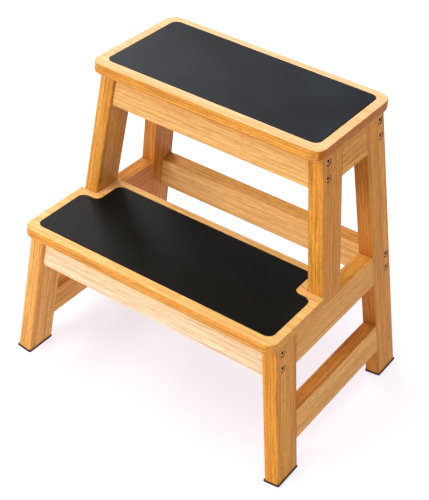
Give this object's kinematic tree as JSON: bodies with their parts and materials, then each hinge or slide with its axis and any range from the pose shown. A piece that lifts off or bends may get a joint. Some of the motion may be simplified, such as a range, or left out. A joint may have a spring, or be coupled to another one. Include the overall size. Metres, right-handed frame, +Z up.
{
  "type": "step stool",
  "caption": "Fixed wooden step stool with splayed legs, a lower and an upper step, dark inlaid anti-slip mats and bolted cross rails.",
  "frame": {"origin": "middle of the footprint, on the floor", "axes": "+Z up; +X to the stool's width, with the two sides mirror images across x = 0; -Y towards the front, where the lower step is, and +Y to the back"},
  "size_m": [0.4018, 0.304, 0.4004],
  "materials": {
    "frame_wood": "clear satin lacquer over honey-coloured wood with fine straight grain",
    "board_wood": "clear satin lacquer over pale wood with fine straight grain",
    "top_mat_rubber": "matte charcoal with a fine grained surface",
    "lower_mat_rubber": "matte near-black with a fine grained surface",
    "rubber_pads": "matte black",
    "steel_screws": "satin plated steel",
    "brass_inserts": "plain turned brass, hidden inside the joints"
  },
  "bodies": {
    "root": {"foot_pad_front_left": "rubber_pads", "foot_pad_front_right": "rubber_pads", "foot_pad_rear_left": "rubber_pads", "foot_pad_rear_right": "rubber_pads", "front_leg_left": "frame_wood", "front_leg_right": "frame_wood", "insert_front_leg_lower_left": "brass_inserts", "insert_front_leg_lower_right": "brass_inserts", "insert_front_leg_upper_left": "brass_inserts", "insert_front_leg_upper_right": "brass_inserts", "insert_rear_leg_high_lower_left": "brass_inserts", "insert_rear_leg_high_lower_right": "brass_inserts", "insert_rear_leg_high_upper_left": "brass_inserts", "insert_rear_leg_high_upper_right": "brass_inserts", "insert_rear_leg_low_lower_left": "brass_inserts", "insert_rear_leg_low_lower_right": "brass_inserts", "insert_rear_leg_low_upper_left": "brass_inserts", "insert_rear_leg_low_upper_right": "brass_inserts", "insert_upper_front_leg_lower_left": "brass_inserts", "insert_upper_front_leg_lower_right": "brass_inserts", "insert_upper_front_leg_upper_left": "brass_inserts", "insert_upper_front_leg_upper_right": "brass_inserts", "lower_board": "board_wood", "lower_front_apron": "frame_wood", "lower_mat": "lower_mat_rubber", "lower_side_rail_left": "frame_wood", "lower_side_rail_right": "frame_wood", "mid_side_rail_left": "frame_wood", "mid_side_rail_right": "frame_wood", "rear_leg_left": "frame_wood", "rear_leg_right": "frame_wood", "rear_rail": "frame_wood", "screw_front_leg_lower_left": "steel_screws", "screw_front_leg_lower_right": "steel_screws", "screw_front_leg_upper_left": "steel_screws", "screw_front_leg_upper_right": "steel_screws", "screw_rear_leg_high_lower_left": "steel_screws", "screw_rear_leg_high_lower_right": "steel_screws", "screw_rear_leg_high_upper_left": "steel_screws", "screw_rear_leg_high_upper_right": "steel_screws", "screw_rear_leg_low_lower_left": "steel_screws", "screw_rear_leg_low_lower_right": "steel_screws", "screw_rear_leg_low_upper_left": "steel_screws", "screw_rear_leg_low_upper_right": "steel_screws", "screw_upper_front_leg_lower_left": "steel_screws", "screw_upper_front_leg_lower_right": "steel_screws", "screw_upper_front_leg_upper_left": "steel_screws", "screw_upper_front_leg_upper_right": "steel_screws", "top_board": "board_wood", "top_mat": "top_mat_rubber", "upper_front_apron": "frame_wood", "upper_front_leg_left": "frame_wood", "upper_front_leg_right": "frame_wood", "upper_rear_apron": "frame_wood", "upper_side_rail_left": "frame_wood", "upper_side_rail_right": "frame_wood"}
  },
  "joints": []
}
